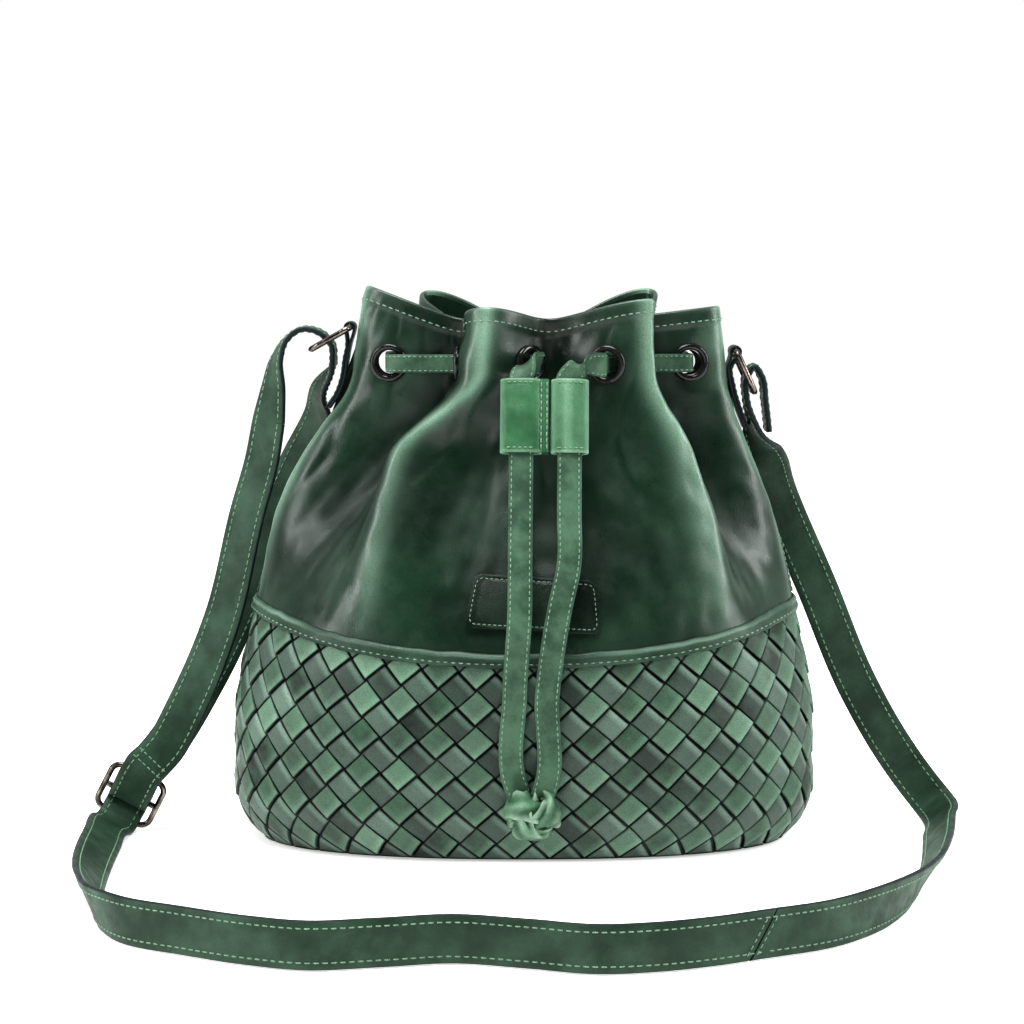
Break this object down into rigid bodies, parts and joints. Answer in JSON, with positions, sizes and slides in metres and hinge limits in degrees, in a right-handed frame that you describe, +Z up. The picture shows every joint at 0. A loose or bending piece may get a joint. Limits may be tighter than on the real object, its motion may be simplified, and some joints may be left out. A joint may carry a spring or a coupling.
{
  "type": "drawstring bucket bag",
  "caption": "Leather drawstring bucket bag with a woven lower half, gathered eyelet mouth, sliding cord stopper, swinging strap rings and an adjustable shoulder strap.",
  "frame": {"origin": "middle of the underside of the base panel, on the surface the bag stands on", "axes": "+Z up, -Y out of the front with the tails and the label patch, +X to the right seen from the front"},
  "size_m": [0.4426, 0.3705, 0.2784],
  "materials": {
    "smooth_leather": "waxed, softly glossy green leather with burnished folds",
    "woven_leather": "green leather strips with dark burnished edges",
    "strap_leather": "matt grey-green strap leather with dark painted edges",
    "lace_leather": "flat stitched lace with raw edges",
    "stopper_leather": "bright green satin leather",
    "lining_cloth": "plain woven cotton",
    "base_stiffener": "fibre board",
    "eyelet_black": "glossy black",
    "dark_nickel": "polished dark nickel"
  },
  "bodies": {
    "bag": {"upper_front_panel": "smooth_leather", "upper_back_panel": "smooth_leather", "seam_band_front": "smooth_leather", "seam_band_back": "smooth_leather", "side_welt_left": "smooth_leather", "side_welt_right": "smooth_leather", "label_patch": "smooth_leather", "base_panel": "smooth_leather", "woven_front_panel": "woven_leather", "woven_back_panel": "woven_leather", "strap_left": "strap_leather", "strap_right": "strap_leather", "strap_sewn_run": "strap_leather", "tab_left": "strap_leather", "tab_right": "strap_leather", "drawstring": "lace_leather", "lining": "lining_cloth", "mouth_facing": "lining_cloth", "base_board": "base_stiffener", "eyelet_01": "eyelet_black", "eyelet_02": "eyelet_black", "eyelet_03": "eyelet_black", "eyelet_04": "eyelet_black", "eyelet_05": "eyelet_black", "eyelet_06": "eyelet_black", "eyelet_07": "eyelet_black", "eyelet_08": "eyelet_black", "eyelet_09": "eyelet_black", "eyelet_10": "eyelet_black", "eyelet_11": "eyelet_black", "eyelet_12": "eyelet_black", "eyelet_washer_01": "eyelet_black", "eyelet_washer_02": "eyelet_black", "eyelet_washer_03": "eyelet_black", "eyelet_washer_04": "eyelet_black", "eyelet_washer_05": "eyelet_black", "eyelet_washer_06": "eyelet_black", "eyelet_washer_07": "eyelet_black", "eyelet_washer_08": "eyelet_black", "eyelet_washer_09": "eyelet_black", "eyelet_washer_10": "eyelet_black", "eyelet_washer_11": "eyelet_black", "eyelet_washer_12": "eyelet_black"},
    "ring_left": {"ring_left": "dark_nickel"},
    "ring_right": {"ring_right": "dark_nickel"},
    "tails": {"tail_left": "lace_leather", "tail_right": "lace_leather", "tail_knot": "lace_leather"},
    "stopper": {"cord_stopper": "stopper_leather"},
    "adjuster": {"adjuster_frame": "dark_nickel", "adjuster_bar": "dark_nickel"}
  },
  "joints": [
    {"name": "ring_left_swing", "type": "hinge", "parent": "bag", "child": "ring_left", "pos_m": [-0.087, 0, 0.257], "axis": [0, 1, 0], "range_deg": [-20, 50], "deforming": ["strap_left"]},
    {"name": "ring_right_swing", "type": "hinge", "parent": "bag", "child": "ring_right", "pos_m": [0.1058, 0, 0.245], "axis": [0, -1, 0], "range_deg": [-6, 50], "deforming": ["strap_right"]},
    {"name": "tails_swing", "type": "hinge", "parent": "bag", "child": "tails", "pos_m": [0.0095, -0.042, 0.24], "axis": [-1, 0, 0], "range_deg": [0, 75], "deforming": ["tail_left", "tail_right"]},
    {"name": "stopper_slide", "type": "slide", "parent": "tails", "child": "stopper", "axis": [-0.0094, -0.3387, -0.9408], "range_m": [0, 0.05]},
    {"name": "adjuster_slide", "type": "slide", "parent": "bag", "child": "adjuster", "axis": [0.4609, -0.1002, 0.8818], "range_m": [0, 0.04], "deforming": ["strap_sewn_run"]}
  ]
}
